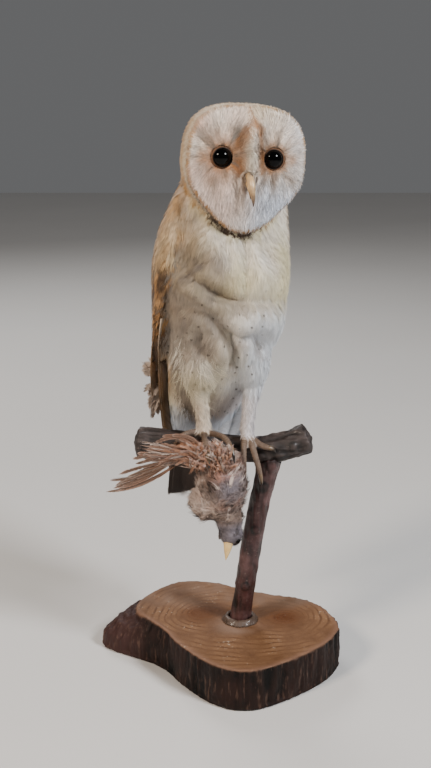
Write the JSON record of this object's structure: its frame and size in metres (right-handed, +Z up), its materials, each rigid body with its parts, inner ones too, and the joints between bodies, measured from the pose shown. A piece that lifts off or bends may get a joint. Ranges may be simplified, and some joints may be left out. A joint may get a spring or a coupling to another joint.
{
  "type": "mounted barn owl taxidermy specimen",
  "caption": "Still life-size barn owl with a flat heart-shaped face, upright on a branch perch over a log slab base, gripping a small dead songbird that hangs head down.",
  "frame": {"origin": "middle of the slab's flat underside, on the surface that the mount stands on", "axes": "+Z up; -Y towards the side that the specimen is shown from; +X along the perch towards its short stub"},
  "size_m": [0.2053, 0.1685, 0.4646],
  "materials": {
    "white_plumage": "matt, short soft feathers",
    "buff_plumage": "matt, close vanes",
    "finch_plumage": "matt, ruffled feathers",
    "toe_skin": "dry scaly skin",
    "horn": "satin horn",
    "claw_horn": "polished brown horn",
    "eye_glass": "polished, black behind",
    "bark": "varnished bark",
    "sawn_wood": "sanded end grain, bark edge",
    "putty": "dried glue and sawdust"
  },
  "bodies": {
    "root": {"facial_disc": "white_plumage", "head": "buff_plumage", "eye_left": "eye_glass", "eye_right": "eye_glass", "bill_upper": "horn", "bill_lower": "horn", "neck": "white_plumage", "back": "buff_plumage", "breast": "white_plumage", "belly": "white_plumage", "wing_right": "buff_plumage", "primaries_right": "buff_plumage", "wing_left": "buff_plumage", "primaries_left": "buff_plumage", "tail": "buff_plumage", "base_slab": "sawn_wood", "branch_perch": "bark", "branch_post": "bark", "putty_collar": "putty", "thigh_right": "white_plumage", "shank_right": "white_plumage", "thigh_left": "white_plumage", "shank_left": "white_plumage", "toe_left_inner": "toe_skin", "claw_left_inner": "claw_horn", "toe_left_middle": "toe_skin", "claw_left_middle": "claw_horn", "toe_left_outer": "toe_skin", "claw_left_outer": "claw_horn", "toe_left_hind": "toe_skin", "claw_left_hind": "claw_horn", "toe_right_inner": "toe_skin", "claw_right_inner": "claw_horn", "toe_right_middle": "toe_skin", "claw_right_middle": "claw_horn", "toe_right_outer": "toe_skin", "claw_right_outer": "claw_horn", "toe_right_hind": "toe_skin", "claw_right_hind": "claw_horn", "finch": "finch_plumage"}
  },
  "joints": []
}
